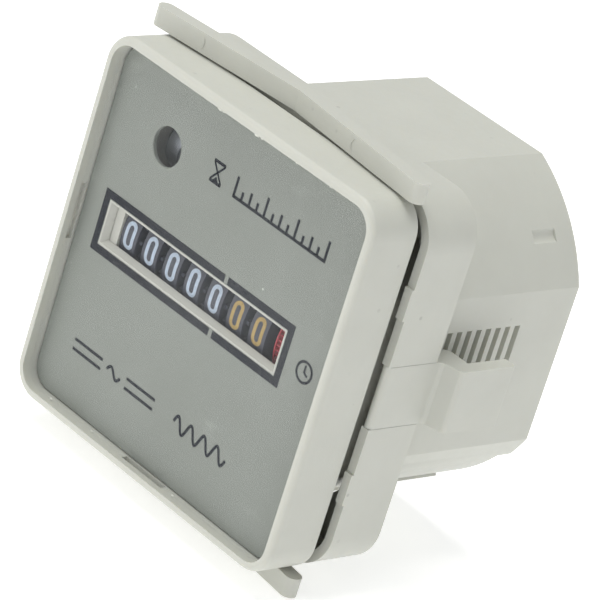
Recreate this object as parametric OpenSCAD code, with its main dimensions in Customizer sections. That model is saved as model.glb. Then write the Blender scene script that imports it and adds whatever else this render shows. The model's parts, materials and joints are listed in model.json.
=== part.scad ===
// Panel hour meter: bezel and body with a seven-wheel counter, its gear train and motor,
// and a mounting clip that slides on the body from behind.
// +X right and +Z up as seen from the front, +Y towards the back. The origin is on the body's
// axis, in the plane where the bezel meets the panel.

/* [Bezel] */
// Width and height of the bezel
bezel_size = 48; // [47:0.5:72]
// Depth of the bezel in front of the panel
bezel_depth = 7.25; // [6.5:0.05:12]
// Corner radius of the bezel
bezel_corner = 4; // [2:0.5:6]
// Width of the rim round the window
rim = 1.1; // [0.9:0.1:2.5]
// Radius of the rounding along the bezel's front edge
bezel_fillet = 0.7; // [0.3:0.05:0.9]
// Margin round the bezel's rear face that stays clear of the panel
seat_margin = 1.3; // [1.25:0.05:1.4]

/* [Body] */
// Overall length of the body behind the panel
body_len = 33.2; // [28:0.1:60]
// Diameter of the body's four arcs
body_round = 48.8; // [48.2:0.1:60]
// Distance between opposite flats of the body
body_across = 44.2; // [43.4:0.1:54]
// Wall thickness of the body
wall = 1.5; // [1.2:0.1:1.8]
// Depth of the two recessed strips on the lower arcs
strip_depth = 0.7; // [0.2:0.1:0.8]

/* [Window and dial] */
// How far the window lies behind the front of the rim
window_recess = 0.9; // [0.3:0.1:1.5]
// Thickness of the window
window_t = 1.1; // [0.8:0.1:1.5]
// Thickness of the dial plate
dial_t = 0.5; // [0.3:0.1:0.8]
// Width of the opening over the number wheels
opening_w = 31.4; // [30:0.1:33]
// Height of the opening over the number wheels
opening_h = 4.4; // [3:0.1:5.5]
// Centre of the opening, left and right
opening_x = -2.1; // [-3:0.1:0]
// Centre of the opening, up and down
opening_z = 0.8; // [-1:0.1:2]
// Radius of the round indicator hole
hole_r = 2.45; // [1.5:0.05:3]
// Place of the round indicator hole, left and right
hole_x = -12.1; // [-12.5:0.1:-11]
// Place of the round indicator hole, up and down
hole_z = 13.85; // [12:0.05:14.5]

/* [Counter] */
// Radius of the number wheels
wheel_r = 7; // [6.8:0.1:7.2]
// Distance from one number wheel to the next
wheel_pitch = 4; // [3.8:0.05:4.05]
// Width of a number wheel's printed rim
rim_w = 2.8; // [2:0.05:2.9]
// Place of the lowest wheel, left and right
first_wheel_x = 9; // [8.5:0.1:9.2]
// Place of the counter shaft, behind the panel plane
shaft_y = 3; // [2.9:0.1:3.5]
// Place of the counter shaft, up and down
shaft_z = 0.4; // [0:0.1:0.8]
// Module of the wheels' carry gears
carry_module = 0.6; // [0.5:0.01:0.61]
// Module of the reduction gears
train_module = 0.2; // [0.17:0.005:0.202]

/* [Clip] */
// Depth of the clip ring from front to back
clip_depth = 7.8; // [5:0.1:9]
// Gap between the bezel and the clip ring at rest
clip_gap = 1.15; // [1.05:0.05:3]
// How much wider than the bezel the clip ring is
clip_extra = 2; // [1.8:0.1:4]
// Corner radius of the clip ring
clip_corner = 5.6; // [3:0.1:7]
// Wall thickness of the clip ring
clip_wall = 1.2; // [1:0.1:1.6]
// Height of the bow springs
bow_h = 2.5; // [1.5:0.1:4]
// Thickness of the bow springs
bow_t = 2.2; // [1.2:0.1:2.6]
// Width of the release latches
latch_w = 8; // [5:0.5:10]
// Distance from one ratchet rib to the next
ratchet_pitch = 1.62; // [1.4:0.02:2]

/* [Hidden] */
$fn = 96;
slip = 0.05;             // gap of a piece that sits in a pocket
run = 0.04;              // radial clearance of a turning piece on its shaft
seat = 0.02;             // radial clearance of a shaft held in a plate
free = 0.25;             // clearance between the clip and the body
over = 1;                // how far a cut runs past the face it starts from
bite = 0.1;              // how far joined shapes run into each other

// the body's arcs, which always stand out past its flats
arc_extra = 4.6;
body_d = max(body_round, body_across + arc_extra);

// how high the body's inside reaches at the place x
function inside_z(x) = sqrt(pow(body_d / 2 - wall - slip, 2) - x * x);

// bezel, window and dial
half = bezel_size / 2;
open_size = bezel_size - 2 * rim;
open_corner = max(bezel_corner - rim, 0.5);
window_front = -bezel_depth + window_recess;
dial_front = window_front + window_t + slip;
dial_back = dial_front + dial_t;
tab_len = 7;
tab_t = 0.7;
tab_out = 0.5;
seat_size = bezel_size - 2 * seat_margin;
seat_relief = 0.2;

// case
strip_from = -64;        // angles of the recessed strip
strip_to = -33;
vent_y0 = 10.5;          // slot along the strip's upper edge
vent_y1 = 18.3;
vent_angle = 2.5;
dimple_r = 1.2;          // snap dimple of the rear cover
dimple_len = 3.9;
dimple_angle = -40;
post = 2;                // side of the square posts that hold the side plates
post_z = [-6, 5];

// counter mask
mask_lip = 0.75;
mask_bevel = 0.45;
mask_flange = 1.05;
mask_flange_t = 0.4;
mask_back = dial_back + slip + mask_flange_t;

// counter
wheels = 7;
shaft_r = 1;
side_w = (wheel_pitch - rim_w) / 2 - 0.1;
carry_n = 8;
carry_shaft_r = 0.75;
carry_room = 0.64;       // least gap between the wheels' rims and the pinion shaft
input_flange_r = 6.3;
input_flange_t = 0.2;
input_hub_r = 2.2;
wheel_gear_n = 2 * ceil((wheel_r + carry_shaft_r + carry_room) / carry_module - carry_n / 2);
carry_dist = (wheel_gear_n + carry_n) * carry_module / 2;
carry_angle = -45;
carry_y = shaft_y + carry_dist * cos(carry_angle);
carry_z = shaft_z + carry_dist * sin(carry_angle);
carry_reach = carry_dist - (carry_n / 2 + 0.85) * carry_module;
function wheel_x(k) = first_wheel_x - wheel_pitch * (k - 1);

// reduction gears, as a chain of centres from the counter shaft to the rotor
pinion_n = 10;
input_n = 60;
large_n = 50;
motor_gear_n = 40;
gear_t = 0.8;
pin_r = 0.4;
sleeve_r = 0.8;
function mesh(n) = (n + pinion_n) * train_module / 2;
function step(p, d, a) = [p[0] + d * cos(a), p[1] + d * sin(a)];
a_counter = 94.5;
a_indicator = 104;
a_second = 0;
a_motor_gear = -15;
a_rotor = -40;
at_wheel = [shaft_y, shaft_z];
at_counter = step(at_wheel, mesh(input_n), a_counter);
at_indicator = step(at_counter, mesh(large_n), a_indicator);
at_second = step(at_indicator, mesh(large_n), a_second);
at_motor_gear = step(at_second, mesh(large_n), a_motor_gear);
at_rotor = step(at_motor_gear, mesh(motor_gear_n), a_rotor);

// places of the frame and the gears, left and right
left_x0 = wheel_x(wheels) - rim_w / 2 - 1.1;
left_t = 1;
input_x = first_wheel_x + rim_w / 2 + 1.2;
input_t = 1.2;
counter_gear_x = input_x + input_t + 0.4;
right_x0 = counter_gear_x + gear_t + 0.6;
right_t = 1;
motor_gear_x = -0.4;
second_gear_x = 1.2;
indicator_gear_x = 2.8;
plate_front = mask_back + slip;
motor_plate_x = -2.2;
motor_plate_t = 1;
left_back = 12;
right_back = 20.2;
flag_w = 1;              // flag of the left plate behind the mask's left edge
flag_len = 3;
flag_z0 = -4;
flag_h = 10;

// pillars of the frame, and the spacers of the motor plate, as places in (y, z)
pillar_r = 1.2;
pillar_end_r = 0.7;
screw_shank = 0.6;
screw_len = 4;
screw_head_t = 0.8;
pillars = [[0, -8.9], [12.2, -9], [11.4, -0.4]];
spacer_z = min(14.4, inside_z(right_x0 + right_t + screw_head_t) - pillar_r);
spacers = [[17, 1.5], [18.4, spacer_z]];
plate_top = min(14.4, inside_z(left_x0));

// motor
motor_r = 8;
motor_len = 12.2;
motor_sheet = 0.6;
motor_x0 = motor_plate_x - motor_len;
magnet_r = 4;
magnet_len = 8;
claw_r = 4.35;
claw_t = 0.5;
claws = 6;
bobbin_r = 5;
bobbin_t = 0.5;
flange_r = 7.2;
winding_r = 6.9;
rotor_shaft_r = 0.5;
lead_r = 0.45;
lead_x = [-6.5, -9.5];
lead_bend_z = [-5.2, -3];

// indicator drum
drum_r = 3.9;
drum_len = 5;

// rear cover and terminals
cover_t = 1.8;
cover_back = body_len - 0.2;
cover_front = cover_back - cover_t;
pocket_w = 7.2;
pocket_h = 9;
pocket_depth = 8.6;
pocket_wall = 1;
pocket_x = 6.5;
pocket_z = -10;
pocket_floor = cover_back - pocket_depth;
plate_t = 0.8;
head_r = 2.6;
head_t = 2;
screw_r = 1.45;
nut_size = 5.5;
nut_t = 2;

// clip
web_w = 0.4;             // least width of the web round the body
clip_least = body_across + 2 * (free + clip_wall + web_w);
clip_w = max(bezel_size + clip_extra, clip_least);
clip_h = max(bezel_size, clip_least);
clip_front = clip_gap;
clip_back = clip_front + clip_depth;
web_t = 1.8;
bow_gap = 0.3;
bow_centre = 0.5;
bow_end = 23.8;
bow_drop = 2.6;
pad_len = 4;
pad_z = 12;
pad_t = 0.3;
latch_gap = 0.05;        // gap above and below a latch arm
arm_t = 1.2;
hinge_r = arm_t / 2;
hinge_y = clip_front + hinge_r;
hinge_x = clip_w / 2 - hinge_r;
grip_out = 2.7;
grip_t = 1.8;
grip_round = 0.8;
grip_y0 = clip_back + 1.55;
grip_len = 9.05;
pawl_gap = 0.2;          // gap between a pawl's tip and the body
pawl_y0 = clip_back + 0.95;
pawl_len = 3.3;

// ratchet
ratchet_depth = 0.85;
ratchet_half = 5.9;
ratchet_y0 = 10.4;
ratchet_n = 9;
rib_drop = 0.05;         // how far the ribs stay below the body's flat
rib_crest = 0.47;        // parts of the pitch where a rib's crest and its slope end
rib_foot = 0.85;

// ---- helpers ----

// extrudes an outline drawn in (x, z) from y0 to y1
module along_y(y0, y1) {
    translate([0, y1, 0]) rotate([90, 0, 0]) linear_extrude(y1 - y0) children();
}

// extrudes an outline drawn in (y, z) from x0 to x1
module along_x(x0, x1) {
    translate([x0, 0, 0]) rotate([90, 0, 90]) linear_extrude(x1 - x0) children();
}

// extrudes an outline drawn in (x, y) over the height h, centred on z = 0
module along_z(h) {
    translate([0, 0, -h / 2]) linear_extrude(h) children();
}

module rounded_rect(w, h, r) {
    square([w - 2 * r, h], center = true);
    square([w, h - 2 * r], center = true);
    for (x = [-1, 1], z = [-1, 1])
        translate([x * (w / 2 - r), z * (h / 2 - r)]) circle(r);
}

// the body's outline, grown by d
module body_outline(d) {
    intersection() {
        circle(body_d / 2 + d);
        square(body_across + 2 * d, center = true);
    }
}

// the points of an arc, from angle a0 to a1 in n steps
function arc(c, r, a0, a1, n) =
    [for (i = [0:n]) c + r * [cos(a0 + (a1 - a0) * i / n), sin(a0 + (a1 - a0) * i / n)]];

// a straight-sided tooth outline: n teeth of the module m, with a tooth at the angle phase
function tooth_points(n, m, phase) =
    let (pitch = 360 / n, r0 = (n / 2 - 1.15) * m, r1 = n * m / 2, r2 = (n / 2 + 0.85) * m)
    [for (i = [0:n - 1], p = [[r0, -0.31], [r1, -0.21], [r2, -0.11], [r2, 0.11], [r1, 0.21], [r0, 0.31]])
        p[0] * [cos(phase + (i + p[1]) * pitch), sin(phase + (i + p[1]) * pitch)]];

module gear(n, m, phase, x0, x1, centre) {
    along_x(x0, x1) translate(centre) polygon(tooth_points(n, m, phase));
}

module disc(r, x0, x1, centre) {
    along_x(x0, x1) translate(centre) circle(r);
}

// the phase that puts a tooth gap of an n-tooth gear where a pinion's tooth comes from the angle a
function gap_phase(n, a) = a + 180 / n;

// a straight round rod from p to q
module rod(p, q, r) {
    d = q - p;
    translate(p) rotate([0, acos(d[2] / norm(d)), atan2(d[1], d[0])]) cylinder(r = r, h = norm(d));
}

// ---- case ----

module ratchet_pocket() {
    x0 = body_across / 2 - ratchet_depth;
    x1 = body_across / 2 - rib_drop;
    difference() {
        translate([x0, ratchet_y0, -ratchet_half])
            cube([ratchet_depth + over, ratchet_n * ratchet_pitch, 2 * ratchet_half]);
        for (i = [0:ratchet_n - 1])
            translate([0, ratchet_y0 + i * ratchet_pitch, 0]) along_z(2 * ratchet_half)
                polygon([[x0 - bite, 0], [x1, 0], [x1, rib_crest * ratchet_pitch],
                    [x0, rib_foot * ratchet_pitch], [x0 - bite, rib_foot * ratchet_pitch]]);
    }
}

// a sector of the ring between the radii r0 and r1, from angle a0 to a1
module ring_sector(r0, r1, a0, a1) {
    difference() {
        polygon(concat([[0, 0]], arc([0, 0], r1 * 1.2, a0, a1, 6)));
        circle(r0);
    }
}

module case_posts() {
    inner = body_across / 2 - wall;
    root = inner + 3 * bite;
    right_face = right_x0 + right_t + slip;
    left_face = left_x0 - slip;
    for (y = [1, 13], z = post_z)
        translate([right_face, y, z - post / 2]) cube([root - right_face, post, post]);
    for (y = [1, 8], z = post_z)
        translate([-root, y, z - post / 2]) cube([root + left_face, post, post]);
    // thicker wall behind the ratchets
    for (s = [0, 1])
        mirror([s, 0, 0]) translate([inner - 0.8, ratchet_y0 - 1, -ratchet_half - 1])
            cube([1.1, ratchet_n * ratchet_pitch + 2, 2 * ratchet_half + 2]);
}

// the bezel's edge seen end on: outwards to the right, and the front at the top
module bezel_edge() {
    f = bezel_fillet;
    square([bezel_corner - f, bezel_depth]);
    square([bezel_corner, bezel_depth - f]);
    translate([bezel_corner - f, bezel_depth - f]) circle(f);
}

// the bezel's outside: a core, four straight edges and four round corners
module bezel_block() {
    c = half - bezel_corner;
    along_y(-bezel_depth, 0) square(2 * c, center = true);
    for (a = [0:90:270])
        rotate([0, a, 0]) {
            along_x(-c, c) translate([0, c]) rotate(90) bezel_edge();
            translate([c, 0, c]) rotate([90, 0, 0]) rotate_extrude(angle = 90) bezel_edge();
        }
}

module front_case() {
    color("#c9cac4") difference() {
        union() {
            difference() {
                union() {
                    bezel_block();
                    along_y(-1, body_len) body_outline(0);
                }
                // inside of the body
                along_y(dial_back - over, body_len + over) body_outline(-wall);
            }
            case_posts();
        }
        // recess for the window and the dial
        along_y(-bezel_depth - over, dial_back) rounded_rect(open_size, open_size, open_corner);
        // relief round the face that lies on the panel
        along_y(-seat_relief, 0.5) difference() {
            square(bezel_size + 2, center = true);
            rounded_rect(seat_size, seat_size, bezel_corner);
        }
        // notches that the window's tabs snap into
        for (a = [0:90:270])
            rotate([0, a, 0]) translate([-tab_len / 2 - 0.2, window_front + 0.1, open_size / 2 - 1])
                cube([tab_len + 0.4, tab_t + 0.2, 1 + tab_out + 0.1]);
        for (s = [0, 1])
            mirror([s, 0, 0]) {
                ratchet_pocket();
                // recessed strip on the lower arc, with a slot near the clip
                along_y(0.01, body_len + over) ring_sector(body_d / 2 - strip_depth,
                    body_d / 2 + over, strip_from, strip_to);
                along_y(vent_y0, vent_y1) ring_sector(body_d / 2 - wall - over, body_d / 2,
                    strip_to - vent_angle, strip_to);
                // snap dimple of the rear cover
                rotate([0, dimple_angle, 0]) translate([body_d / 2 + 0.85, body_len - 7, 0])
                    rotate([-90, 0, 0]) cylinder(r = dimple_r, h = dimple_len);
            }
    }
}

module rear_cover() {
    color("#c9cac4") {
        difference() {
            union() {
                along_y(cover_front, cover_back) body_outline(-wall - strip_depth - slip);
                for (s = [-1, 1])
                    translate([s * pocket_x - pocket_w / 2 - pocket_wall, pocket_floor - pocket_wall,
                        pocket_z - pocket_h / 2 - pocket_wall])
                        cube([pocket_w + 2 * pocket_wall, pocket_depth + pocket_wall - 0.5,
                            pocket_h + 2 * pocket_wall]);
            }
            for (s = [-1, 1]) {
                translate([s * pocket_x - pocket_w / 2, pocket_floor, pocket_z - pocket_h / 2])
                    cube([pocket_w, pocket_depth + 1, pocket_h]);
                translate([s * pocket_x, pocket_floor - pocket_wall - 1, pocket_z])
                    rotate([-90, 0, 0]) cylinder(r = screw_r + slip, h = pocket_wall + 2);
            }
        }
        // prongs that hold the movement forwards
        translate([right_x0 - 0.5, right_back + slip, -2])
            cube([right_t + 1, cover_front - right_back, 4]);
        translate([left_x0 - 0.5, left_back + slip, 2])
            cube([left_t + 1, cover_front - left_back, 4]);
    }
}

module window() {
    color("#dfe9ee", 0.3) {
        along_y(window_front, window_front + window_t)
            rounded_rect(open_size - 0.3, open_size - 0.3, open_corner);
        for (a = [0:90:270])
            rotate([0, a, 0]) translate([-tab_len / 2, window_front + 0.2, open_size / 2 - 1])
                cube([tab_len, tab_t, 1 + tab_out]);
    }
}

// ---- dial and mask ----

module dial_plate() {
    color("#939992") along_y(dial_front, dial_back) difference() {
        rounded_rect(open_size - 0.4, open_size - 0.4, open_corner);
        translate([opening_x, opening_z])
            square([opening_w + 2 * mask_lip, opening_h + 2 * mask_lip], center = true);
        translate([hole_x, hole_z]) circle(hole_r);
    }
}

module counter_mask() {
    w = opening_w + 2 * mask_lip - 2 * slip;
    h = opening_h + 2 * mask_lip - 2 * slip;
    color("#d9dad2") translate([opening_x, 0, opening_z]) difference() {
        union() {
            along_y(dial_front, mask_back) square([w, h], center = true);
            along_y(dial_back + slip, mask_back)
                square([w + 2 * mask_flange, h + 2 * mask_flange], center = true);
        }
        along_y(dial_front - 1, mask_back + 1) square([opening_w, opening_h], center = true);
        hull() {
            along_y(dial_front - 0.1, dial_front)
                square([opening_w + 2 * mask_bevel, opening_h + 2 * mask_bevel], center = true);
            along_y(mask_back - 0.2, mask_back - 0.1) square([opening_w, opening_h], center = true);
        }
    }
}

// ---- movement frame ----

module shaft_hole(centre, r) {
    translate(centre) circle(r);
}

module left_plate() {
    color("#d5d6cf") {
        along_x(left_x0, left_x0 + left_t) difference() {
            polygon([[plate_front, -6], [plate_front, 12], [-1.5, plate_top], [3.5, plate_top],
                [left_back, 7], [left_back, -11], [-1, -11]]);
            shaft_hole(at_wheel, shaft_r + seat);
            shaft_hole([carry_y, carry_z], carry_shaft_r + seat);
            shaft_hole(at_indicator, pin_r + run);
            for (p = pillars) shaft_hole(p, pillar_end_r + seat);
        }
        // flag that closes the counter's opening on the left
        translate([left_x0 - flag_w, plate_front, flag_z0]) cube([flag_w + bite, flag_len, flag_h]);
    }
}

module right_plate() {
    color("#d5d6cf") along_x(right_x0, right_x0 + right_t) difference() {
        polygon([[plate_front, -6], [plate_front, 12], [-1.5, 16], [19, 16],
            [right_back, 14.5], [right_back, -2], [14, -11], [-1, -11]]);
        shaft_hole(at_wheel, shaft_r + seat);
        shaft_hole([carry_y, carry_z], carry_shaft_r + seat);
        shaft_hole(at_indicator, pin_r + run);
        for (c = [at_counter, at_second, at_motor_gear]) shaft_hole(c, pin_r + seat);
        for (p = concat(pillars, spacers)) shaft_hole(p, screw_shank + 0.1);
    }
}

module motor_plate() {
    color("#b8babb") along_x(motor_plate_x, motor_plate_x + motor_plate_t) difference() {
        polygon([[4.5, 11], [4.5, 17.5], [8, 19], [20, 18], [25, 14], [25, 1], [22, -1],
            [14.5, -1], [11.5, 5], [9, 9]]);
        shaft_hole(at_rotor, rotor_shaft_r + run);
        for (c = [at_second, at_motor_gear]) shaft_hole(c, pin_r + seat);
        for (p = spacers) shaft_hole(p, pillar_end_r + seat);
    }
}

module pillar(p, x0, x1) {
    difference() {
        union() {
            disc(pillar_r, x0, x1, p);
            disc(pillar_end_r, x0 - left_t, x0, p);
        }
        disc(screw_shank + seat, x1 - screw_len - 0.5, x1 + over, p);
    }
}

module frame_pillars() {
    color("#b9bcc0") {
        for (p = pillars) pillar(p, left_x0 + left_t, right_x0);
        for (p = spacers) pillar(p, motor_plate_x + motor_plate_t, right_x0);
    }
}

module frame_screws() {
    color("#b9bcc0") for (p = concat(pillars, spacers)) difference() {
        union() {
            disc(screw_shank, right_x0 - screw_len, right_x0 + right_t, p);
            disc(pillar_r, right_x0 + right_t, right_x0 + right_t + screw_head_t, p);
        }
        // driver slot
        translate([right_x0 + right_t + 0.5, p[0] - 1, p[1] - 0.15]) cube([over, 2, 0.3]);
    }
}

module counter_shaft() {
    color("#c3c6c9") disc(shaft_r, left_x0, right_x0 + right_t, at_wheel);
}

module pinion_shaft() {
    color("#c3c6c9") disc(carry_shaft_r, left_x0, right_x0 + right_t, [carry_y, carry_z]);
}

module gear_pins() {
    color("#c3c6c9") {
        for (c = [at_second, at_motor_gear]) disc(pin_r, motor_plate_x, right_x0 + right_t, c);
        disc(pin_r, input_x - 0.3, right_x0 + right_t, at_counter);
    }
}

// ---- counter ----

module number_wheel(k) {
    x = wheel_x(k);
    color("#43464c") difference() {
        union() {
            disc(wheel_r, x - rim_w / 2, x + rim_w / 2, at_wheel);
            if (k > 1)
                gear(wheel_gear_n, carry_module, gap_phase(wheel_gear_n, carry_angle),
                    x + rim_w / 2 - 0.1, x + rim_w / 2 + side_w, at_wheel);
            if (k < wheels) {
                disc(carry_reach - 0.6, x - rim_w / 2 - side_w, x - rim_w / 2 + 0.1, at_wheel);
                // two carry teeth
                for (a = [-9, 9])
                    along_x(x - rim_w / 2 - side_w, x - rim_w / 2 + 0.1) translate(at_wheel)
                        rotate(a + carry_angle + 180) translate([carry_reach - 1, -0.35])
                            square([0.75, 0.7]);
            }
        }
        disc(shaft_r + run, x - rim_w, x + rim_w, at_wheel);
    }
}

module number_wheel_1() {
    number_wheel(1);
}

module number_wheel_2() {
    number_wheel(2);
}

module number_wheel_3() {
    number_wheel(3);
}

module number_wheel_4() {
    number_wheel(4);
}

module number_wheel_5() {
    number_wheel(5);
}

module number_wheel_6() {
    number_wheel(6);
}

module number_wheel_7() {
    number_wheel(7);
}

module input_gear() {
    color("#b3303f") difference() {
        union() {
            gear(input_n, train_module, gap_phase(input_n, a_counter), input_x, input_x + input_t,
                at_wheel);
            disc(input_flange_r, input_x - input_flange_t, input_x, at_wheel);
            disc(input_hub_r, first_wheel_x + rim_w / 2, input_x, at_wheel);
        }
        disc(shaft_r + run, first_wheel_x, input_x + input_t + over, at_wheel);
    }
}

module transfer_pinion(k) {
    x1 = wheel_x(k) - rim_w / 2 - 0.1;
    x0 = wheel_x(k + 1) + rim_w / 2 + 0.1;
    color("#e4e2d8") difference() {
        gear(carry_n, carry_module, carry_angle + 180, x0, x1, [carry_y, carry_z]);
        disc(carry_shaft_r + run, x0 - 1, x1 + 1, [carry_y, carry_z]);
    }
}

module transfer_pinion_1() {
    transfer_pinion(1);
}

module transfer_pinion_2() {
    transfer_pinion(2);
}

module transfer_pinion_3() {
    transfer_pinion(3);
}

module transfer_pinion_4() {
    transfer_pinion(4);
}

module transfer_pinion_5() {
    transfer_pinion(5);
}

module transfer_pinion_6() {
    transfer_pinion(6);
}

// ---- reduction gears ----

// a gear and a pinion in one piece that turns on a fixed pin between x0 and x1
module compound(c, n, gear_x, gear_a, pinion_x0, pinion_x1, pinion_a, x0, x1) {
    difference() {
        union() {
            gear(n, train_module, gap_phase(n, gear_a), gear_x, gear_x + gear_t, c);
            gear(pinion_n, train_module, pinion_a, pinion_x0, pinion_x1, c);
            disc(sleeve_r, x0, x1, c);
        }
        disc(pin_r + run, x0 - 1, x1 + 1, c);
    }
}

module counter_gear() {
    color("#ece9dc")
        compound(at_counter, large_n, counter_gear_x, a_indicator, input_x + 0.1,
            counter_gear_x + bite, a_counter + 180, input_x + 0.1, right_x0 - 0.1);
}

module second_gear() {
    color("#ece9dc")
        compound(at_second, large_n, second_gear_x, a_motor_gear, second_gear_x + gear_t - 0.1,
            indicator_gear_x + gear_t + 0.5, a_second + 180,
            motor_plate_x + motor_plate_t + 0.1, right_x0 - 0.1);
}

module motor_gear() {
    color("#ece9dc")
        compound(at_motor_gear, motor_gear_n, motor_gear_x, a_rotor, motor_gear_x + gear_t - 0.1,
            second_gear_x + gear_t + 0.4, a_motor_gear + 180,
            motor_plate_x + motor_plate_t + 0.1, right_x0 - 0.1);
}

module indicator_arbor() {
    color("#c3c6c9") {
        disc(pin_r, left_x0 + 0.1, right_x0 + right_t - 0.1, at_indicator);
        gear(pinion_n, train_module, a_indicator + 180, counter_gear_x - 0.3,
            right_x0 - 0.3, at_indicator);
    }
}

module indicator_gear() {
    color("#d2a94c") difference() {
        union() {
            gear(large_n, train_module, gap_phase(large_n, a_second), indicator_gear_x,
                indicator_gear_x + gear_t, at_indicator);
            disc(1.6, indicator_gear_x + gear_t - 0.1, indicator_gear_x + gear_t + 1.2, at_indicator);
        }
        disc(pin_r + 0.01, indicator_gear_x - 2, indicator_gear_x + 2, at_indicator);
    }
}

module indicator_drum() {
    x0 = hole_x - drum_len / 2;
    color("#c9ccd0") difference() {
        disc(drum_r, x0, x0 + drum_len, at_indicator);
        for (x = [x0 - 1, x0 + drum_len / 2 + 0.4])
            difference() {
                disc(drum_r - 0.7, x, x + drum_len / 2 + 0.6, at_indicator);
                disc(1.3, x - 1, x + drum_len, at_indicator);
            }
        disc(pin_r + 0.01, x0 - 1, x0 + drum_len + 1, at_indicator);
    }
}

// ---- motor ----

module claws_ring(x0, x1, phase) {
    for (i = [0:claws - 1])
        along_x(x0, x1) translate(at_rotor) intersection() {
            difference() {
                circle(claw_r + claw_t);
                circle(claw_r);
            }
            rotate(phase + i * 360 / claws)
                polygon([[0, 0], [2 * claw_r * cos(11), 2 * claw_r * sin(11)],
                    [2 * claw_r * cos(11), -2 * claw_r * sin(11)]]);
        }
}

module motor_cup() {
    color("#aeb2b4") {
        difference() {
            disc(motor_r, motor_x0, motor_plate_x - motor_sheet, at_rotor);
            disc(motor_r - motor_sheet, motor_x0 + motor_sheet, motor_plate_x, at_rotor);
            disc(rotor_shaft_r + run, motor_x0 - 1, motor_plate_x, at_rotor);
            for (x = lead_x)
                translate([x, at_rotor[0], at_rotor[1] - motor_r - 1]) cylinder(r = 0.8, h = 2);
        }
        claws_ring(motor_x0 + motor_sheet - 0.1, motor_x0 + motor_len - 1.6, 0);
    }
}

module motor_cover() {
    color("#aeb2b4") {
        along_x(motor_plate_x - motor_sheet, motor_plate_x) translate(at_rotor) difference() {
            circle(motor_r);
            circle(rotor_shaft_r + 1);
        }
        claws_ring(motor_x0 + 1.6, motor_plate_x - motor_sheet + 0.1, 180 / claws);
    }
}

module coil_bobbin() {
    x0 = motor_x0 + motor_sheet + 0.1;
    x1 = motor_plate_x - motor_sheet - 0.1;
    color("#e8e4d4") difference() {
        union() {
            disc(bobbin_r + bobbin_t, x0, x1, at_rotor);
            disc(flange_r, x0, x0 + 0.8, at_rotor);
            disc(flange_r, x1 - 0.8, x1, at_rotor);
        }
        disc(bobbin_r, x0 - 1, x1 + 1, at_rotor);
    }
}

module coil_winding() {
    x0 = motor_x0 + motor_sheet + 0.95;
    x1 = motor_plate_x - motor_sheet - 0.95;
    color("#b0682e") along_x(x0, x1) translate(at_rotor) difference() {
        circle(winding_r);
        circle(bobbin_r + bobbin_t + 0.03);
    }
}

module rotor_magnet() {
    x0 = motor_x0 + (motor_len - magnet_len) / 2 - 0.2;
    color("#3a3b3f") along_x(x0, x0 + magnet_len) translate(at_rotor) difference() {
        circle(magnet_r);
        circle(rotor_shaft_r + 0.01);
    }
}

module rotor_shaft() {
    color("#c3c6c9") {
        disc(rotor_shaft_r, motor_x0 + 0.1, motor_gear_x, at_rotor);
        gear(pinion_n, train_module, a_rotor + 180, motor_gear_x - 0.2, motor_gear_x + gear_t + 0.2,
            at_rotor);
    }
}

// ---- terminals ----

// each wire runs from the winding down out of the motor, across, and back to its nut
module lead(i) {
    nut = [(i == 0 ? -1 : 1) * pocket_x, pocket_floor - pocket_wall - nut_t / 2 - 0.1,
        pocket_z + nut_size / 2 + 0.05];
    top = [lead_x[i], at_rotor[0], at_rotor[1] - winding_r - 0.15];
    a = [lead_x[i], at_rotor[0], lead_bend_z[i]];
    b = [nut[0], nut[1], lead_bend_z[i]];
    rod(top, a, lead_r);
    rod(a, b, lead_r);
    rod(b, nut, lead_r);
    for (p = [a, b]) translate(p) sphere(lead_r, $fn = 32);
}

module coil_leads() {
    color("#3d4c7a") for (i = [0, 1]) lead(i, $fn = 32);
}

module terminal_plates() {
    color("#cfcabb") for (s = [-1, 1])
        translate([s * pocket_x, 0, pocket_z]) along_y(pocket_floor + 0.02, pocket_floor + plate_t)
            difference() {
                square([pocket_w - 0.6, pocket_h - 0.8], center = true);
                circle(screw_r + slip);
            }
}

module terminal_screws() {
    color("#cfd1d3") for (s = [-1, 1])
        translate([s * pocket_x, 0, pocket_z]) difference() {
            union() {
                along_y(pocket_floor + plate_t, pocket_floor + plate_t + head_t) circle(head_r);
                along_y(pocket_floor - pocket_wall - nut_t - 0.5, pocket_floor + plate_t)
                    circle(screw_r);
            }
            translate([-0.4, pocket_floor + plate_t + head_t - 1, -head_r])
                cube([0.8, 2, 2 * head_r]);
            translate([-head_r * 0.6, pocket_floor + plate_t + head_t - 1, -0.4])
                cube([head_r * 1.2, 2, 0.8]);
        }
}

module terminal_nuts() {
    y1 = pocket_floor - pocket_wall - 0.02;
    color("#c9a24a") for (s = [-1, 1])
        translate([s * pocket_x, 0, pocket_z]) along_y(y1 - nut_t, y1) difference() {
            square(nut_size, center = true);
            circle(screw_r + seat);
        }
}

// ---- mounting clip ----

function bow_y(x) = bow_centre - bow_drop * abs(x) / bow_end;

// one bow spring seen from above: a shallow V with round ends
module bow_outline() {
    r = bow_t / 2;
    for (s = [0, 1])
        mirror([s, 0]) {
            polygon([[0, bow_centre], [bow_end - r, bow_y(bow_end - r)],
                [bow_end - r, bow_y(bow_end - r) + bow_t], [0, bow_centre + bow_t]]);
            translate([bow_end - r, bow_y(bow_end - r) + r]) circle(r);
        }
}

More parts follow.
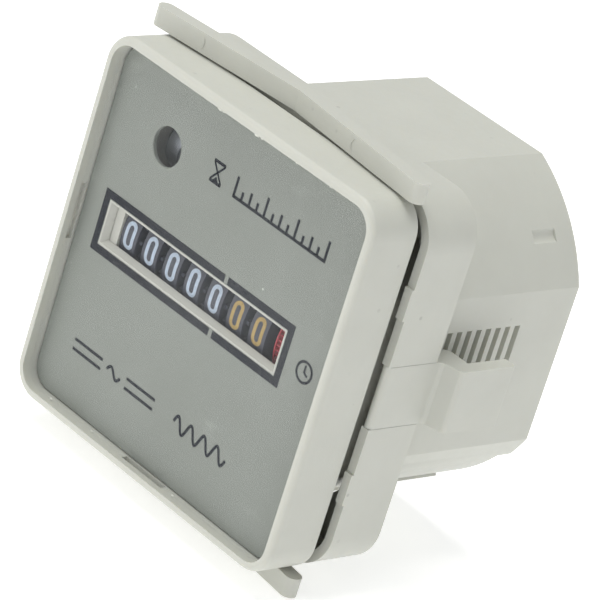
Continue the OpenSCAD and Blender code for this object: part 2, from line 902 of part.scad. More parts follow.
module clip_ring() {
    slot = latch_w / 2 + latch_gap;
    inner_w = clip_w - 2 * clip_wall;
    inner_h = clip_h - 2 * clip_wall;
    color("#c5c6c0") {
        difference() {
            along_y(clip_front, clip_back) rounded_rect(clip_w, clip_h, clip_corner);
            // hollow in front of the web
            along_y(clip_front - 1, clip_back - web_t)
                rounded_rect(inner_w, inner_h, clip_corner - clip_wall);
            along_y(clip_front - 1, clip_back + 1) body_outline(free);
            // slots of the latch arms
            for (s = [0, 1])
                mirror([s, 0, 0]) translate([clip_w / 2 - arm_t - pawl_gap, clip_front - over, -slot])
                    cube([arm_t + pawl_gap + over, clip_depth + 2 * over, 2 * slot]);
        }
        // pads on the front edge of the side walls
        for (x = [-1, 1], z = [-1, 1])
            translate([x * (clip_w / 2 - clip_wall / 2) - clip_wall / 2, clip_front - pad_t,
                z * pad_z - pad_len / 2]) cube([clip_wall, pad_t + 0.5, pad_len]);
        // bow springs above and below, each joined to the ring in the middle
        for (s = [0, 1])
            mirror([0, 0, s]) {
                translate([0, 0, clip_h / 2 + bow_gap + bow_h / 2]) along_z(bow_h) bow_outline();
                translate([-5, clip_front, clip_h / 2 - 0.5])
                    cube([10, bow_centre + bow_t - clip_front, bow_gap + 1]);
            }
    }
}

// the right latch seen from above: an arm that steps outwards to a grip, with a pawl at the step
module latch_outline() {
    x1 = clip_w / 2;
    x0 = x1 - arm_t;
    gx1 = x1 + grip_out;
    gx0 = gx1 - grip_t;
    end = grip_y0 + grip_len;
    tip = body_across / 2 + pawl_gap;
    pawl_end = pawl_y0 + pawl_len;
    polygon(concat(
        [[x1, hinge_y]],
        arc([x1 + 0.8, clip_back + 0.3], 0.8, 180, 120, 3),
        arc([gx1 - grip_round, grip_y0 + grip_round], grip_round, 300, 360, 4),
        arc([gx1 - 0.3, end - 0.3], 0.3, 0, 90, 3),
        [[gx0, end], [gx0, pawl_end]],
        // the pawl: a wedge with a short flat at its tip
        [[tip + 0.5, pawl_end], [tip, pawl_end - 0.75], [tip, pawl_end - 1.6], [x0, pawl_y0]],
        [[x0, hinge_y]]
    ));
}

module latch() {
    translate([hinge_x, hinge_y, 0]) along_z(latch_w) circle(hinge_r);
    along_z(latch_w) latch_outline();
}

module latch_right() {
    color("#c5c6c0") latch();
}

module latch_left() {
    color("#c5c6c0") mirror([1, 0, 0]) latch();
}

front_case();
rear_cover();
window();
dial_plate();
counter_mask();
left_plate();
right_plate();
motor_plate();
frame_pillars();
frame_screws();
counter_shaft();
pinion_shaft();
gear_pins();
number_wheel_1();
number_wheel_2();
number_wheel_3();
number_wheel_4();
number_wheel_5();
number_wheel_6();
number_wheel_7();
input_gear();
transfer_pinion_1();
transfer_pinion_2();
transfer_pinion_3();
transfer_pinion_4();
transfer_pinion_5();
transfer_pinion_6();
counter_gear();
indicator_arbor();
indicator_gear();
indicator_drum();
second_gear();
motor_gear();
rotor_shaft();
rotor_magnet();
motor_cup();
motor_cover();
coil_bobbin();
coil_winding();
coil_leads();
terminal_plates();
terminal_screws();
terminal_nuts();
clip_ring();
latch_right();
latch_left();
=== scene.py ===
import json
import math
import random

import bpy
from mathutils import Matrix, Vector


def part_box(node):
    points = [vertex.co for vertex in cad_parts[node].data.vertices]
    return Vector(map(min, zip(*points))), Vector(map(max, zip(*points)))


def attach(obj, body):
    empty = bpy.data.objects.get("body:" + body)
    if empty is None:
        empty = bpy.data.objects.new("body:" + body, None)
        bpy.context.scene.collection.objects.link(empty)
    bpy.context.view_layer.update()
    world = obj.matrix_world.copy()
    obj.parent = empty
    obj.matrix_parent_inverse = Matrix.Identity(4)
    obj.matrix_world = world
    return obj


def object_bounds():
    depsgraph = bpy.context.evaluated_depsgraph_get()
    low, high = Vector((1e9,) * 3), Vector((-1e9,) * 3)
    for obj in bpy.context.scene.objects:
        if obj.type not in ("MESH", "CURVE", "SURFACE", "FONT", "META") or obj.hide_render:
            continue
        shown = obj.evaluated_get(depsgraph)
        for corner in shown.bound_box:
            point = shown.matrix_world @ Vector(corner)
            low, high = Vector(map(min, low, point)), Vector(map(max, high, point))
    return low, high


# A panel hour meter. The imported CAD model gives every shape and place. This script adds its
# materials, the printing on the dial, the figures on the number wheels, and moulding marks.

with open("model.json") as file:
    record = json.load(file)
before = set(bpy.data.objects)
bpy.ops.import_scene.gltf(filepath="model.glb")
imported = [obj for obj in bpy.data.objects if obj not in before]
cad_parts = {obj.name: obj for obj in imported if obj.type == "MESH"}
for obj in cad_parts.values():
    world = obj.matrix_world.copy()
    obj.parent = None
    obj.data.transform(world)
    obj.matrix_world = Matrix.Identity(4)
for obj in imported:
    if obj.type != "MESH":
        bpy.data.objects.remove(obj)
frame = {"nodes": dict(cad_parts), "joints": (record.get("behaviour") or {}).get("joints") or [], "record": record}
cad_low, cad_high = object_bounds()
nodes = frame["nodes"]
joints = {j["name"]: j for j in frame["joints"]}

MM = 0.001
CASE = "case"


# ---- camera ----

# The photograph was taken from the right, from above, with the camera rolled to one side.
AZIMUTH = math.radians(41.4)
ELEVATION = math.radians(22.54)
ROLL = math.radians(17.6)
DISTANCE = 498.8 * MM
OFFSET_RIGHT = 7.86 * MM
OFFSET_UP = -0.34 * MM
SENSOR = 36.0
FIELD_OF_VIEW = math.radians(8.03)


def make_camera():
    sin_a, cos_a = math.sin(AZIMUTH), math.cos(AZIMUTH)
    sin_e, cos_e = math.sin(ELEVATION), math.cos(ELEVATION)
    back = Vector((sin_a * cos_e, -cos_a * cos_e, sin_e))
    level = Vector((0, 0, 1)).cross(back).normalized()
    upright = back.cross(level)
    right = math.cos(ROLL) * level + math.sin(ROLL) * upright
    up = -math.sin(ROLL) * level + math.cos(ROLL) * upright
    data = bpy.data.cameras.new("camera")
    data.sensor_width = SENSOR
    data.lens = SENSOR / 2 / math.tan(FIELD_OF_VIEW / 2)
    data.clip_start = 0.01
    data.clip_end = 20
    camera = bpy.data.objects.new("camera", data)
    bpy.context.scene.collection.objects.link(camera)
    place = right * OFFSET_RIGHT + up * OFFSET_UP + back * DISTANCE
    turn = Matrix((right, up, back)).transposed().to_4x4()
    camera.matrix_world = Matrix.Translation(place) @ turn
    bpy.context.scene.camera = camera


# ---- light and floor ----

LAMP_SIZE = 0.6
FLOOR_HALF = 1.6
FLOOR_DROP = 0.4 * MM  # how far the floor lies below the object


def area_light(name, place, power, colour):
    """A round soft lamp, aimed at the origin."""
    data = bpy.data.lights.new(name, "AREA")
    data.shape = "DISK"
    data.size = LAMP_SIZE
    data.energy = power
    data.color = colour
    lamp = bpy.data.objects.new(name, data)
    bpy.context.scene.collection.objects.link(lamp)
    lamp.location = place
    lamp.rotation_mode = "QUATERNION"
    lamp.rotation_quaternion = (-Vector(place)).to_track_quat("-Z", "Y")


def make_studio():
    scene = bpy.context.scene
    scene.view_settings.view_transform = "Standard"
    world = bpy.data.worlds.new("studio")
    world.use_nodes = True
    background = world.node_tree.nodes["Background"]
    background.inputs["Color"].default_value = (0.97, 0.99, 1.0, 1)
    background.inputs["Strength"].default_value = 0.45
    scene.world = world
    area_light("top_light", (-0.10, -0.10, 0.75), 4.2, (1.0, 0.995, 0.965))
    area_light("side_light", (0.75, -0.35, 0.30), 0.5, (1.0, 0.995, 0.97))
    area_light("front_light", (-0.45, -0.8, 0.30), 1.6, (1.0, 0.985, 0.955))
    z = cad_low.z - FLOOR_DROP
    corners = [(x * FLOOR_HALF, y * FLOOR_HALF, z) for x, y in ((-1, -1), (1, -1), (1, 1), (-1, 1))]
    mesh = bpy.data.meshes.new("floor")
    mesh.from_pydata(corners, [], [(0, 1, 2, 3)])
    floor = bpy.data.objects.new("floor", mesh)
    scene.collection.objects.link(floor)
    floor.data.materials.append(floor_paper())


# ---- materials ----

class Shader:
    """A material's node tree with a few short ways to add to it."""

    def __init__(self, name):
        self.material = bpy.data.materials.new(name)
        self.material.use_nodes = True
        self.tree = self.material.node_tree
        self.base = self.tree.nodes["Principled BSDF"]
        self.place = self.tree.nodes.new("ShaderNodeTexCoord").outputs["Object"]

    def node(self, kind, **inputs):
        made = self.tree.nodes.new(kind)
        for key, value in inputs.items():
            self.feed(value, made.inputs[key.replace("_", " ")])
        return made

    def feed(self, value, socket):
        if isinstance(value, bpy.types.NodeSocket):
            self.tree.links.new(value, socket)
        else:
            socket.default_value = value

    def stretched(self, scale, turn=(0, 0, 0)):
        mapping = self.node("ShaderNodeMapping", Vector=self.place)
        mapping.inputs["Scale"].default_value = scale
        mapping.inputs["Rotation"].default_value = turn
        return mapping.outputs["Vector"]

    def noise(self, scale, detail=3.0, rough=0.5, where=None):
        made = self.node("ShaderNodeTexNoise", Vector=where or self.place, Scale=scale,
                         Detail=detail, Roughness=rough)
        return made.outputs["Fac"]

    def spots(self, scale, size):
        """1 in round spots of a size that is a share of their spacing, and 0 elsewhere."""
        cells = self.node("ShaderNodeTexVoronoi", Vector=self.place, Scale=scale)
        return self.span(cells.outputs["Distance"], size, size * 0.6, 0.0, 1.0)

    def span(self, value, low, high, to_low, to_high):
        made = self.node("ShaderNodeMapRange", Value=value, From_Min=low, From_Max=high,
                         To_Min=to_low, To_Max=to_high)
        return made.outputs["Result"]

    def maths(self, operation, *values):
        made = self.tree.nodes.new("ShaderNodeMath")
        made.operation = operation
        for value, socket in zip(values, made.inputs):
            self.feed(value, socket)
        return made.outputs["Value"]

    def blend(self, share, a, b):
        made = self.tree.nodes.new("ShaderNodeMix")
        made.data_type = "RGBA"
        self.feed(share, made.inputs["Factor"])
        self.feed(rgba(a), made.inputs["A"])
        self.feed(rgba(b), made.inputs["B"])
        return made.outputs["Result"]

    def bump(self, height, depth):
        made = self.node("ShaderNodeBump", Height=height, Strength=1.0, Distance=depth)
        return made.outputs["Normal"]

    def set(self, **values):
        for key, value in values.items():
            self.feed(value, self.base.inputs[key.replace("_", " ")])


def rgba(colour):
    if isinstance(colour, bpy.types.NodeSocket):
        return colour
    return (*colour[:3], 1.0)


def shade(colour, share):
    return tuple(min(1.0, c * share) for c in colour)


def plastic(name, colour, roughness, mottle=0.05, grain=0.000012, scatter=0.0):
    """Moulded plastic: faint flow streaks and blotches, a fine spark-eroded grain, and dust."""
    s = Shader(name)
    blotch = s.noise(140.0, 4.0, 0.6)
    streak = s.noise(60.0, 3.0, 0.55, s.stretched((1.0, 0.25, 4.0), (0.2, 0.1, 0.5)))
    light, dark = shade(colour, 1 + mottle), shade(colour, 1 - mottle)
    tone = s.blend(s.span(blotch, 0.3, 0.7, 0, 1), dark, light)
    tone = s.blend(s.span(streak, 0.35, 0.75, 0, 0.5), tone, light)
    tone = s.blend(s.maths("MULTIPLY", s.spots(330.0, 0.10), s.span(blotch, 0.5, 0.62, 0, 0.55)),
                   tone, shade(colour, 0.62))
    s.set(Base_Color=tone, Specular_IOR_Level=0.45)
    s.set(Roughness=s.span(s.noise(900.0, 3.0), 0.3, 0.7, roughness - 0.06, roughness + 0.06))
    s.set(Normal=s.bump(s.noise(5200.0, 2.0, 0.6), grain))
    if scatter:
        s.set(Subsurface_Weight=scatter, Subsurface_Scale=0.0012)
        s.base.inputs["Subsurface Radius"].default_value = (1.0, 0.85, 0.6)
    return s.material


def metal(name, colour, roughness, along):
    """Bare or plated metal, with turning or rolling marks that are long where along is small."""
    s = Shader(name)
    marks = s.noise(2500.0, 4.0, 0.7, s.stretched(along))
    stain = s.noise(260.0, 4.0, 0.6)
    tone = s.blend(s.span(marks, 0.3, 0.7, 0, 1), shade(colour, 0.88), shade(colour, 1.08))
    tone = s.blend(s.span(stain, 0.55, 0.8, 0, 0.5), tone, shade(colour, 0.7))
    s.set(Base_Color=tone, Metallic=1.0)
    s.set(Roughness=s.span(marks, 0.25, 0.75, roughness - 0.08, roughness + 0.1))
    s.set(Normal=s.bump(marks, 0.000004))
    return s.material


def floor_paper():
    """White paper lit from below, so that it stays white round the object."""
    s = Shader("floor_paper")
    fibre = s.noise(60.0, 3.0)
    s.set(Base_Color=s.blend(fibre, (0.88, 0.88, 0.88), (0.92, 0.92, 0.92)), Roughness=0.95)
    s.set(Emission_Color=(1.0, 1.0, 1.0, 1.0), Emission_Strength=0.48)
    return s.material


def winding():
    """Enamelled copper wire, wound in turns side by side along the coil's axis."""
    s = Shader("coil_winding")
    turns = s.node("ShaderNodeTexWave", Vector=s.place, Scale=1200.0, Distortion=0.4, Detail=1.0)
    turns.bands_direction = "X"
    height = turns.outputs["Fac"]
    # Painted shade and painted highlight: each turn is coloured darker in the groove between turns and lighter on
    # its crest, following the same wave as its bump.
    tone = s.blend(s.span(height, 0, 1, 0, 1), (0.20, 0.06, 0.02), (0.62, 0.25, 0.09))
    tone = s.blend(s.span(s.noise(300.0), 0.5, 0.8, 0, 0.4), tone, (0.35, 0.10, 0.03))
    s.set(Base_Color=tone, Metallic=0.75, Coat_Weight=0.6, Coat_Roughness=0.12)
    s.set(Roughness=s.span(s.noise(1500.0), 0.3, 0.7, 0.22, 0.36), Normal=s.bump(height, 0.00003))
    return s.material


def dial_paint():
    """Satin grey paint with a fine metallic mottle, a few dust specks and faint smears."""
    s = Shader("dial_paint")
    grey = (0.224, 0.240, 0.217)
    fine = s.noise(3500.0, 2.0)
    wide = s.noise(45.0, 3.0, 0.5)
    tone = s.blend(s.span(fine, 0.3, 0.7, 0, 1), shade(grey, 0.965), shade(grey, 1.035))
    tone = s.blend(s.span(wide, 0.3, 0.7, 0, 1), tone, shade(grey, 1.06))
    dust = s.maths("MULTIPLY", s.spots(420.0, 0.075),
                   s.span(s.noise(90.0), 0.5, 0.6, 0, 0.8))
    tone = s.blend(dust, tone, (0.62, 0.64, 0.60))
    smear = s.noise(120.0, 5.0, 0.65, s.stretched((1.0, 1.0, 2.2), (0, 0.6, 0)))
    tone = s.blend(s.span(smear, 0.62, 0.80, 0, 0.25), tone, (0.50, 0.52, 0.48))
    s.set(Base_Color=tone, Specular_IOR_Level=0.4)
    s.set(Roughness=s.span(fine, 0.3, 0.7, 0.42, 0.54), Normal=s.bump(fine, 0.000003))
    return s.material


def window_plastic():
    """Clear acrylic: nearly invisible, with hair scratches and a little haze in its gloss."""
    s = Shader("window_plastic")
    scratch = s.noise(900.0, 3.0, 0.6, s.stretched((0.15, 1.0, 3.0), (0, 0.5, 0)))
    haze = s.span(s.noise(80.0, 4.0, 0.6), 0.35, 0.8, 0.015, 0.045)
    s.set(Base_Color=s.blend(s.span(scratch, 0.6, 0.8, 0, 1), (0.80, 0.84, 0.84),
                             (0.95, 0.96, 0.96)))
    s.set(Alpha=haze, Specular_IOR_Level=0.5)
    s.set(Roughness=s.span(scratch, 0.4, 0.8, 0.03, 0.16), Normal=s.bump(scratch, 0.000002))
    return s.material


def ink(name, colour, roughness):
    """Screen-printed ink, a little uneven in its cover and its sheen."""
    s = Shader(name)
    cover = s.noise(2600.0, 3.0, 0.6)
    s.set(Base_Color=s.blend(s.span(cover, 0.35, 0.75, 0, 1), shade(colour, 0.9),
                             shade(colour, 1.15)))
    s.set(Roughness=s.span(cover, 0.3, 0.7, roughness - 0.05, roughness + 0.08))
    s.set(Specular_IOR_Level=0.15, Normal=s.bump(cover, 0.000004))
    return s.material


def drum_metal():
    """The run indicator's drum: brushed aluminium with a broad black spiral round it."""
    s = Shader("drum_metal")
    low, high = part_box("indicator_drum")
    middle = (low + high) / 2
    parts = s.node("ShaderNodeSeparateXYZ", Vector=s.place)
    rise = s.maths("SUBTRACT", parts.outputs["Z"], middle.z)
    depth = s.maths("SUBTRACT", parts.outputs["Y"], middle.y)
    turn = s.span(s.maths("ARCTAN2", rise, depth), -math.pi, math.pi, 0.0, 1.0)
    along = s.span(parts.outputs["X"], low.x, high.x, 0.0, 1.0)
    spiral = s.maths("FRACT", s.maths("ADD", turn, along))
    stripe = s.span(spiral, 0.46, 0.47, 0.0, 1.0)
    marks = s.noise(2500.0, 4.0, 0.7, s.stretched((3.0, 0.2, 0.2)))
    bare = s.blend(s.span(marks, 0.3, 0.7, 0, 1), (0.24, 0.26, 0.29), (0.36, 0.38, 0.42))
    s.set(Base_Color=s.blend(stripe, bare, (0.05, 0.055, 0.065)))
    s.set(Metallic=s.span(stripe, 0, 1, 0.8, 0.0))
    s.set(Roughness=s.span(marks, 0.3, 0.7, 0.35, 0.5), Normal=s.bump(marks, 0.000004))
    return s.material


WARM_GREY = (0.545, 0.550, 0.500)
ACROSS_X = (3.0, 0.3, 0.3)  # marks that run round pieces whose axis is X


def make_materials():
    """One material for each of the record's slots."""
    return {
        "case_plastic": plastic("case_plastic", WARM_GREY, 0.44, 0.025, scatter=0.12),
        "clip_plastic": plastic("clip_plastic", shade(WARM_GREY, 0.985), 0.42, 0.03,
                                scatter=0.12),
        "window_plastic": window_plastic(),
        "dial_paint": dial_paint(),
        "pale_plastic": plastic("pale_plastic", (0.50, 0.50, 0.46), 0.38, 0.03, 0.000006),
        "wheel_plastic": plastic("wheel_plastic", (0.046, 0.049, 0.070), 0.42, 0.08, 0.000005),
        "red_plastic": plastic("red_plastic", (0.45, 0.03, 0.05), 0.35, 0.06, 0.000004),
        "pinion_plastic": plastic("pinion_plastic", (0.036, 0.038, 0.052), 0.42, 0.08, 0.000004),
        "gear_nylon": plastic("gear_nylon", (0.74, 0.72, 0.62), 0.34, 0.04, 0.000004,
                              scatter=0.2),
        "brass": metal("brass", (0.72, 0.50, 0.20), 0.30, ACROSS_X),
        "drum_metal": drum_metal(),
        "steel": metal("steel", (0.56, 0.57, 0.58), 0.26, ACROSS_X),
        "zinc_steel": metal("zinc_steel", (0.50, 0.53, 0.54), 0.40, (1.0, 0.2, 1.0)),
        "ferrite": plastic("ferrite", (0.045, 0.045, 0.048), 0.55, 0.12, 0.00001),
        "bobbin_plastic": plastic("bobbin_plastic", (0.68, 0.64, 0.50), 0.40, 0.04),
        "copper_wire": winding(),
        "wire_sleeve": plastic("wire_sleeve", (0.03, 0.08, 0.30), 0.35, 0.06, 0.000004),
        "plated_steel": metal("plated_steel", (0.66, 0.66, 0.63), 0.22, (0.3, 3.0, 0.3)),
    }


def paint_nodes(materials):
    for row in frame["record"]["subparts"]:
        slots = nodes[row["node"]].data.materials
        slots.clear()
        slots.append(materials[row["material_slot"]])


# ---- flat shapes, drawn as strokes ----

INK_T = 0.018 * MM
INK_SINK = 0.004 * MM  # how far the ink's underside lies in the surface it is printed on
LONGEST_STEP = 0.25 * MM


def arc(cx, cy, rx, ry, start, end, steps=14):
    """Points on an ellipse, between two angles in degrees."""
    angles = [math.radians(start + (end - start) * i / steps) for i in range(steps + 1)]
    return [(cx + rx * math.cos(a), cy + ry * math.sin(a)) for a in angles]


def finer(path, closed, longest):
    """The same path with points added, so that no two lie more than a set length apart."""
    ends = path[1:] + path[:1] if closed else path[1:]
    points = []
    for a, b in zip(path, ends):
        parts = max(1, math.ceil(math.dist(a, b) / longest))
        for i in range(parts):
            points.append((a[0] + (b[0] - a[0]) * i / parts, a[1] + (b[1] - a[1]) * i / parts))
    return points if closed else points + [path[-1]]


def outline(path, width, closed):
    """The left and right edges of a stroke along a path, with mitred corners."""
    count = len(path)
    edges = []
    for i, point in enumerate(path):
        before = Vector(path[i - 1]) if closed or i > 0 else None
        after = Vector(path[(i + 1) % count]) if closed or i < count - 1 else None
        here = Vector(point)
        into = (here - before).normalized() if before is not None else None
        out = (after - here).normalized() if after is not None else None
        into = into or out
        out = out or into
        side = Vector((-into.y - out.y, into.x + out.x)).normalized()
        reach = width / 2 / max(0.5, side.dot(Vector((-into.y, into.x))))
        edges.append((here + side * reach, here - side * reach))
    return edges


class Print:
    """Thin raised print, made of strokes that are mapped from flat places onto a surface."""

    def __init__(self, name, to_surface):
        self.name = name
        self.to_surface = to_surface
        self.points = []
        self.faces = []

    def stroke(self, path, width, closed=False):
        first = len(self.points)
        edges = outline(finer(path, closed, LONGEST_STEP), width, closed)
        for left, right in edges:
            for height in (0, INK_T):
                self.points.append(self.to_surface(left.x, left.y, height))
                self.points.append(self.to_surface(right.x, right.y, height))
        count = len(edges)
        for i in range(count if closed else count - 1):
            a, b = first + 4 * i, first + 4 * ((i + 1) % count)
            self.faces += [(a + 2, a + 3, b + 3, b + 2), (a + 1, a, b, b + 1),
                           (a, a + 2, b + 2, b), (a + 3, a + 1, b + 1, b + 3)]
        if not closed:
            a, b = first, first + 4 * (count - 1)
            self.faces += [(a, a + 1, a + 3, a + 2), (b + 1, b, b + 2, b + 3)]

    def patch(self, corners):
        """A filled convex patch."""
        first = len(self.points)
        count = len(corners)
        for height in (0, INK_T):
            self.points += [self.to_surface(x, y, height) for x, y in corners]
        top = [first + count + i for i in range(count)]
        self.faces += [tuple(top), tuple(first + count - 1 - i for i in range(count))]
        for i in range(count):
            j = (i + 1) % count
            self.faces.append((first + i, first + j, first + count + j, first + count + i))

    def build(self, material, body):
        solid(self.name, self.points, self.faces, material, body)


def solid(name, points, faces, material, body):
    mesh = bpy.data.meshes.new(name)
    mesh.from_pydata([tuple(p) for p in points], [], faces)
    mesh.validate()
    mesh.update()
    piece = bpy.data.objects.new(name, mesh)
    bpy.context.scene.collection.objects.link(piece)
    piece.data.materials.append(material)
    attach(piece, body)


# ---- figures on the number wheels ----

FIGURE_HALF_W = 0.62 * MM
FIGURE_HALF_H = 1.56 * MM
FIGURE_STROKE = 0.50 * MM
FIGURE_ANGLE = math.radians(36)
LOOK_UP = math.radians(1.6)  # the figure in view stands this far above the shaft's height
GOLD_WHEELS = 2  # the decimals, which are printed in gold


def figure_strokes(digit):
    """A figure's strokes as (path, closed) pairs, with its middle at (0, 0). 9 is a turned 6."""
    w, h = FIGURE_HALF_W, FIGURE_HALF_H
    if digit == 0:
        return [(arc(0, h - w, w, w, 0, 180) + arc(0, w - h, w, w, 180, 360), True)]
    if digit == 1:
        return [([(-0.6 * w, h - 0.6 * w), (0.2 * w, h), (0.2 * w, -h)], False)]
    if digit == 2:
        return [(arc(0, h - w, w, w, 165, -35) + [(-w, -h), (w, -h)], False)]
    if digit == 3:
        return [(arc(0, h / 2, w, h / 2, 150, -90), False),
                (arc(0, -h / 2, w, h / 2, 90, -150), False)]
    if digit == 4:
        return [([(0.45 * w, -h), (0.45 * w, h), (-w, -0.35 * h), (1.2 * w, -0.35 * h)], False)]
    if digit == 5:
        return [([(w, h), (-w, h), (-w, 0.15 * h)] + arc(0, -0.4 * h, w, 0.6 * h, 110, -155),
                 False)]
    if digit == 6:
        return [(arc(0, -0.45 * h, w, 0.55 * h, 0, 345), True),
                ([(-w, -0.45 * h)] + arc(0, h - w, w, w, 180, 35), False)]
    if digit == 7:
        return [([(-w, h), (w, h), (-0.2 * w, -h)], False)]
    if digit == 8:
        return [(arc(0, 0.5 * h, 0.9 * w, 0.5 * h, 0, 345), True),
                (arc(0, -0.5 * h, w, 0.5 * h, 0, 345), True)]
    return [([(-x, -y) for x, y in path], closed) for path, closed in figure_strokes(6)]


def rim_place(middle, centre, radius, digit):
    """The mapping from a figure's flat places onto a number wheel's rim."""
    turn = math.pi - LOOK_UP - digit * FIGURE_ANGLE

    def on_rim(x, y, height):
        angle = turn - y / radius
        reach = radius - INK_SINK + height
        return (middle + x, centre.y + reach * math.cos(angle),
                centre.z + reach * math.sin(angle))

    return on_rim


def make_figures(materials):
    """Ten figures round each number wheel: white for hours, gold for the decimals."""
    centre = Vector(joints["counter_spin"]["pos_m"])
    wheels = sum(1 for node in nodes if node.startswith("number_wheel_"))
    for k in range(1, wheels + 1):
        low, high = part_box(f"number_wheel_{k}")
        radius = (high.z - low.z) / 2
        joint = "counter_spin" if k == 1 else f"wheel_{k}_spin"
        middle = joints[joint]["pos_m"][0]
        figures = Print(f"figures_{k}", None)
        for digit in range(10):
            figures.to_surface = rim_place(middle, centre, radius, digit)
            for path, closed in figure_strokes(digit):
                figures.stroke(path, FIGURE_STROKE, closed)
        paint = materials["gold_ink" if k <= GOLD_WHEELS else "white_ink"]
        figures.build(paint, f"wheel_{k}")


# ---- printing on the dial ----

LINE = 0.40 * MM       # the weight of the heading's and the signs' lines
FRAME_BAND = 1.0 * MM  # the printed frame round the counter
FRAME_GAP = 0.3 * MM   # half the gap in it at the decimal point
FRAME_INSET = 0.95 * MM  # how far its inner edge lies inside the counter mask's box
HEADING_Z = 14.95 * MM
HEADING_HALF_H = 1.25 * MM
HOURGLASS_X = -3.2 * MM
HOURGLASS_HALF_W = 0.85 * MM
RULE_START = 0.2 * MM
TICKS = 13
TICK_PITCH = 1.35 * MM
LONG_TICK, MIDDLE_TICK, SHORT_TICK = 2.0, 1.35, 0.9  # in half heights of the heading
CLOCK_X, CLOCK_Z, CLOCK_R = 18.6 * MM, 0.65 * MM, 1.25 * MM
SUPPLY_Z = -15.15 * MM
SUPPLY_DASHES = ((-17.6, -12.2), (-7.6, -2.2))  # each pair's ends in x, in millimetres
SUPPLY_RISE = 0.62 * MM  # half the space between a pair of dashes


def on_dial(x, z, height):
    """The mapping from flat places onto the dial plate's front."""
    return (x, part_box("dial_plate")[0].y + INK_SINK - height, z)


def print_counter_frame(ink_material):
    """A frame round the counter, split above and below the decimal point."""
    low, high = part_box("counter_mask")
    x0, x1 = low.x + FRAME_INSET, high.x - FRAME_INSET
    z0, z1 = low.z + FRAME_INSET, high.z - FRAME_INSET
    split = (joints["wheel_2_spin"]["pos_m"][0] + joints["wheel_3_spin"]["pos_m"][0]) / 2
    band = Print("counter_frame_print", on_dial)
    for xa, xb in ((x0 - FRAME_BAND, x0), (x1, x1 + FRAME_BAND)):
        band.patch([(xa, z0 - FRAME_BAND), (xb, z0 - FRAME_BAND), (xb, z1 + FRAME_BAND),
                    (xa, z1 + FRAME_BAND)])
    for za, zb in ((z0 - FRAME_BAND, z0), (z1, z1 + FRAME_BAND)):
        for xa, xb in ((x0, split - FRAME_GAP), (split + FRAME_GAP, x1)):
            band.patch([(xa, za), (xb, za), (xb, zb), (xa, zb)])
    band.build(ink_material, CASE)


def print_heading(ink_material):
    """An hourglass and a rule with ticks, in place of words."""
    heading = Print("heading_print", on_dial)
    z, half_h = HEADING_Z, HEADING_HALF_H
    cx, w = HOURGLASS_X, HOURGLASS_HALF_W
    for s in (-1, 1):
        heading.stroke([(cx - 1.2 * w, z + s * half_h), (cx + 1.2 * w, z + s * half_h)], LINE)
        heading.stroke([(cx - w, z + s * half_h), (cx - w, z + s * 0.8 * half_h), (cx, z),
                        (cx + w, z + s * 0.8 * half_h), (cx + w, z + s * half_h)], LINE * 0.7)
    heading.patch([(cx - 0.55 * w, z - 0.85 * half_h), (cx + 0.55 * w, z - 0.85 * half_h),
                   (cx, z - 0.4 * half_h)])
    rule_end = RULE_START + (TICKS - 1) * TICK_PITCH
    heading.stroke([(RULE_START - LINE / 2, z - half_h), (rule_end + LINE / 2, z - half_h)], LINE)
    for i in range(TICKS):
        x = RULE_START + i * TICK_PITCH
        tall = LONG_TICK if i % 4 == 0 else (MIDDLE_TICK if i % 2 == 0 else SHORT_TICK)
        heading.stroke([(x, z - half_h), (x, z - half_h + tall * half_h)], LINE)
    heading.build(ink_material, CASE)


def print_clock(ink_material):
    """A small clock face beside the counter, in place of the unit."""
    clock = Print("clock_print", on_dial)
    cx, cz, r = CLOCK_X, CLOCK_Z, CLOCK_R
    clock.stroke(arc(cx, cz, r, r, 0, 350, 34), LINE * 0.85, True)
    clock.stroke([(cx, cz + 0.72 * r), (cx, cz), (cx + 0.5 * r, cz - 0.3 * r)], LINE * 0.75)
    clock.build(ink_material, CASE)


def wave(xa, xb, periods, height):
    """A sine wave along the line of the supply signs, with its sizes given in millimetres."""
    steps = 16 * periods
    points = []
    for i in range(steps + 1):
        t = i / steps
        rise = height * math.sin(2 * math.pi * periods * t)
        points.append(((xa + (xb - xa) * t) * MM, SUPPLY_Z + rise * MM))
    return points


def print_supply_signs(ink_material):
    """Signs for alternating current, in place of the rating."""
    signs = Print("supply_print", on_dial)
    for xa, xb in SUPPLY_DASHES:
        for z in (SUPPLY_Z - SUPPLY_RISE, SUPPLY_Z + SUPPLY_RISE):
            signs.stroke([(xa * MM, z), (xb * MM, z)], LINE)
    signs.stroke(wave(-11.2, -8.6, 1, 0.6), LINE)
    signs.stroke(wave(1.6, 11.2, 4, 0.95), LINE)
    signs.build(ink_material, CASE)


# ---- moulding marks ----

MARK_R = 1.0 * MM
MARK_TUBE = 0.045 * MM
MARK_EDGE = 1.25 * MM  # from a bow's outer edge to the middle of its marks
MARK_PLACES = (("left", -16 * MM), ("right", 12 * MM))
# Each crumb's x in millimetres, its edge (1 upper, -1 lower) and its size in millimetres
FLASH_SPOTS = ((-4.7, 1, 1.0), (-4.0, 1, 0.6), (2.0, 1, 0.9), (2.9, 1, 0.5), (-17.5, -1, 0.5),
               (9.0, 1, 0.35), (15.0, 1, 0.3), (-9.5, -1, 0.4), (6.0, -1, 0.5))
FLASH_STEP = 0.06 * MM  # each ring of a crumb stands this far in front of the one before
FLASH_SINK = 0.02 * MM


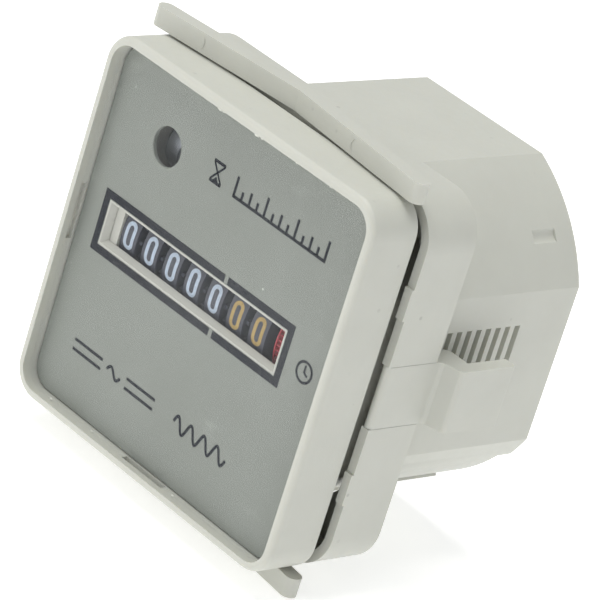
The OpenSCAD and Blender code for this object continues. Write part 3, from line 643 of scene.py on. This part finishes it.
def make_ring_mark(name, centre, normal, material):
    """A thin raised ring, such as an ejector pin leaves."""
    normal = Vector(normal).normalized()
    side = normal.orthogonal().normalized()
    up = normal.cross(side)
    around, across = 40, 6
    points, faces = [], []
    for i in range(around):
        a = 2 * math.pi * i / around
        out = side * math.cos(a) + up * math.sin(a)
        for j in range(across):
            b = 2 * math.pi * j / across
            points.append(Vector(centre) + out * (MARK_R + MARK_TUBE * math.cos(b))
                          + normal * MARK_TUBE * 0.6 * math.sin(b))
    for i in range(around):
        for j in range(across):
            a, b = i * across, ((i + 1) % around) * across
            k = (j + 1) % across
            faces.append((a + j, b + j, b + k, a + k))
    solid(name, points, faces, material, "clip")


def make_ejector_marks(material):
    """Ejector marks on the front of both bow springs."""
    low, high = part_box("clip_ring")
    reach = high.x - 1.2 * MM
    bow_front, bow_end = 0.5 * MM, low.y + 0.1 * MM
    slope = (bow_end - bow_front) / reach
    for side, z in (("upper", high.z - MARK_EDGE), ("lower", low.z + MARK_EDGE)):
        for word, x in MARK_PLACES:
            y = bow_front + slope * abs(x)
            normal = (math.copysign(slope, x), -1, 0)
            make_ring_mark(f"ejector_mark_{side}_{word}", (x, y, z), normal, material)


def make_flash(material):
    """Ragged crumbs of moulding flash along the window's edges."""
    low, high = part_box("window")
    front = low.y
    upper_edge, lower_edge = high.z - 0.98 * MM, low.z + 0.75 * MM
    rng = random.Random(7)
    rings, around = 3, 9
    for number, (x, side, size) in enumerate(FLASH_SPOTS):
        points, faces = [], []
        edge = upper_edge if side > 0 else lower_edge
        for i in range(rings):
            y = front - i * FLASH_STEP + FLASH_SINK
            for j in range(around):
                a = 2 * math.pi * j / around
                r = size * 0.5 * MM * (1 - 0.3 * i) * rng.uniform(0.45, 1.1)
                points.append((x * MM + r * math.cos(a) * 1.2, y, edge + r * math.sin(a) * 0.55))
        for i in range(rings - 1):
            for j in range(around):
                k = (j + 1) % around
                a, b = i * around, (i + 1) * around
                faces.append((a + j, a + k, b + k, b + j))
        faces.append(tuple(range(around))[::-1])
        faces.append(tuple((rings - 1) * around + j for j in range(around)))
        solid(f"window_flash_{number}", points, faces, material, CASE)


def soften_edges():
    """Small rounds on the edges of the outer mouldings."""
    widths = {"front_case": 0.12, "clip_ring": 0.15, "latch_right": 0.15, "latch_left": 0.15,
              "rear_cover": 0.12, "counter_mask": 0.04}
    for node, width in widths.items():
        bevel = nodes[node].modifiers.new("soft_edge", "BEVEL")
        bevel.width = width * MM
        bevel.segments = 2
        bevel.limit_method = "ANGLE"
        bevel.angle_limit = math.radians(40)
        bevel.use_clamp_overlap = False
        bevel.harden_normals = True


make_camera()
make_studio()
materials = make_materials()
materials["white_ink"] = ink("white_ink", (0.48, 0.56, 0.67), 0.45)
materials["gold_ink"] = ink("gold_ink", (0.46, 0.33, 0.13), 0.45)
materials["black_ink"] = ink("black_ink", (0.012, 0.014, 0.022), 0.5)
paint_nodes(materials)
make_figures(materials)
for print_part in (print_counter_frame, print_heading, print_clock, print_supply_signs):
    print_part(materials["black_ink"])
make_ejector_marks(materials["clip_plastic"])
soften_edges()
make_flash(plastic("moulding_flash", (0.66, 0.67, 0.61), 0.4, 0.05))
